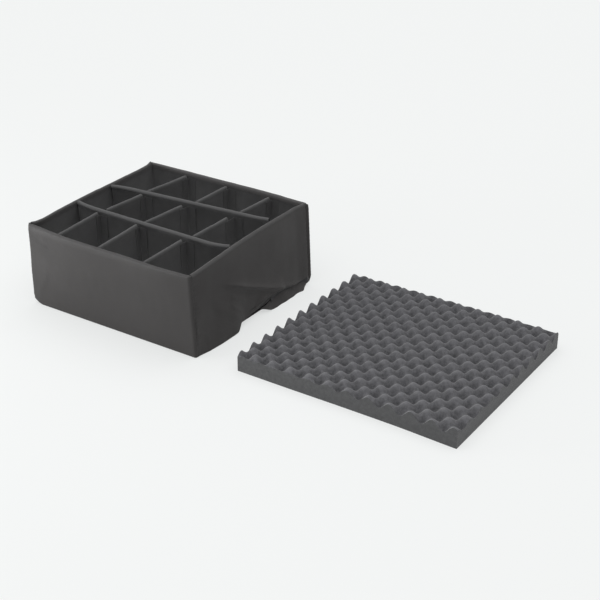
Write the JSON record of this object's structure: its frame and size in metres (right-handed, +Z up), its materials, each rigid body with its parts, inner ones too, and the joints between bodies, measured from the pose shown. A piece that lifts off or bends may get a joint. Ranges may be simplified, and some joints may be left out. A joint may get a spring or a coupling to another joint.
{
  "type": "camera bag insert",
  "caption": "Padded nylon camera insert for a hard case: an open tray with lift-out hook-and-loop dividers, and the egg-crate foam sheet for the case's lid.",
  "frame": {"origin": "centre of the tray's flat underside, on the floor", "axes": "+X along the tray's front wall towards the foam sheet beside it, +Y from the front wall to the back wall, +Z up out of the open tray"},
  "size_m": [1.309, 0.574, 0.24],
  "materials": {
    "nylon_cover": "satin",
    "rim_tape": "satin",
    "loop_lining": "matte",
    "divider_cloth": "matte",
    "divider_tape": "satin",
    "hook_tape": "matte",
    "wall_foam": "matte",
    "base_board": "matte",
    "egg_crate_foam": "matte"
  },
  "bodies": {
    "tray": {"base_cover": "nylon_cover", "base_board": "base_board", "base_foam": "wall_foam", "floor_lining": "loop_lining", "front_cover": "nylon_cover", "front_foam": "wall_foam", "front_lining": "loop_lining", "front_rim_binding": "rim_tape", "back_cover": "nylon_cover", "back_foam": "wall_foam", "back_lining": "loop_lining", "back_rim_binding": "rim_tape", "left_cover": "nylon_cover", "left_foam": "wall_foam", "left_lining": "loop_lining", "left_rim_binding": "rim_tape", "right_cover": "nylon_cover", "right_foam": "wall_foam", "right_lining": "loop_lining", "right_rim_binding": "rim_tape", "right_skirt": "nylon_cover", "recess_gusset": "nylon_cover"},
    "long_divider_front": {"long_divider_front_pad": "divider_cloth", "long_divider_front_tape": "divider_tape", "long_divider_front_left_tab": "hook_tape", "long_divider_front_right_tab": "hook_tape"},
    "long_divider_back": {"long_divider_back_pad": "divider_cloth", "long_divider_back_tape": "divider_tape", "long_divider_back_left_tab": "hook_tape", "long_divider_back_right_tab": "hook_tape"},
    "short_divider_front_left": {"short_divider_front_left_pad": "divider_cloth", "short_divider_front_left_near_tab": "hook_tape", "short_divider_front_left_far_tab": "hook_tape"},
    "short_divider_front_middle": {"short_divider_front_middle_pad": "divider_cloth", "short_divider_front_middle_near_tab": "hook_tape", "short_divider_front_middle_far_tab": "hook_tape"},
    "short_divider_front_right": {"short_divider_front_right_pad": "divider_cloth", "short_divider_front_right_near_tab": "hook_tape", "short_divider_front_right_far_tab": "hook_tape"},
    "short_divider_middle_left": {"short_divider_middle_left_pad": "divider_cloth", "short_divider_middle_left_near_tab": "hook_tape", "short_divider_middle_left_far_tab": "hook_tape"},
    "short_divider_middle_middle": {"short_divider_middle_middle_pad": "divider_cloth", "short_divider_middle_middle_near_tab": "hook_tape", "short_divider_middle_middle_far_tab": "hook_tape"},
    "short_divider_middle_right": {"short_divider_middle_right_pad": "divider_cloth", "short_divider_middle_right_near_tab": "hook_tape", "short_divider_middle_right_far_tab": "hook_tape"},
    "short_divider_back_left": {"short_divider_back_left_pad": "divider_cloth", "short_divider_back_left_near_tab": "hook_tape", "short_divider_back_left_far_tab": "hook_tape"},
    "short_divider_back_middle": {"short_divider_back_middle_pad": "divider_cloth", "short_divider_back_middle_near_tab": "hook_tape", "short_divider_back_middle_far_tab": "hook_tape"},
    "short_divider_back_right": {"short_divider_back_right_pad": "divider_cloth", "short_divider_back_right_near_tab": "hook_tape", "short_divider_back_right_far_tab": "hook_tape"},
    "lid_foam": {"lid_foam_sheet": "egg_crate_foam"}
  },
  "joints": [
    {"name": "long_divider_front_lift", "type": "slide", "parent": "tray", "child": "long_divider_front", "axis": [0, 0, 1], "range_m": [0, 0.245]},
    {"name": "long_divider_back_lift", "type": "slide", "parent": "tray", "child": "long_divider_back", "axis": [0, 0, 1], "range_m": [0, 0.245]},
    {"name": "short_divider_front_left_lift", "type": "slide", "parent": "tray", "child": "short_divider_front_left", "axis": [0, 0, 1], "range_m": [0, 0.245]},
    {"name": "short_divider_front_middle_lift", "type": "slide", "parent": "tray", "child": "short_divider_front_middle", "axis": [0, 0, 1], "range_m": [0, 0.245]},
    {"name": "short_divider_front_right_lift", "type": "slide", "parent": "tray", "child": "short_divider_front_right", "axis": [0, 0, 1], "range_m": [0, 0.245]},
    {"name": "short_divider_middle_left_lift", "type": "slide", "parent": "tray", "child": "short_divider_middle_left", "axis": [0, 0, 1], "range_m": [0, 0.245]},
    {"name": "short_divider_middle_middle_lift", "type": "slide", "parent": "tray", "child": "short_divider_middle_middle", "axis": [0, 0, 1], "range_m": [0, 0.245]},
    {"name": "short_divider_middle_right_lift", "type": "slide", "parent": "tray", "child": "short_divider_middle_right", "axis": [0, 0, 1], "range_m": [0, 0.245]},
    {"name": "short_divider_back_left_lift", "type": "slide", "parent": "tray", "child": "short_divider_back_left", "axis": [0, 0, 1], "range_m": [0, 0.245]},
    {"name": "short_divider_back_middle_lift", "type": "slide", "parent": "tray", "child": "short_divider_back_middle", "axis": [0, 0, 1], "range_m": [0, 0.245]},
    {"name": "short_divider_back_right_lift", "type": "slide", "parent": "tray", "child": "short_divider_back_right", "axis": [0, 0, 1], "range_m": [0, 0.245]},
    {"name": "lid_foam_lift", "type": "slide", "parent": "tray", "child": "lid_foam", "axis": [0, 0, 1], "range_m": [0, 0.25]}
  ]
}
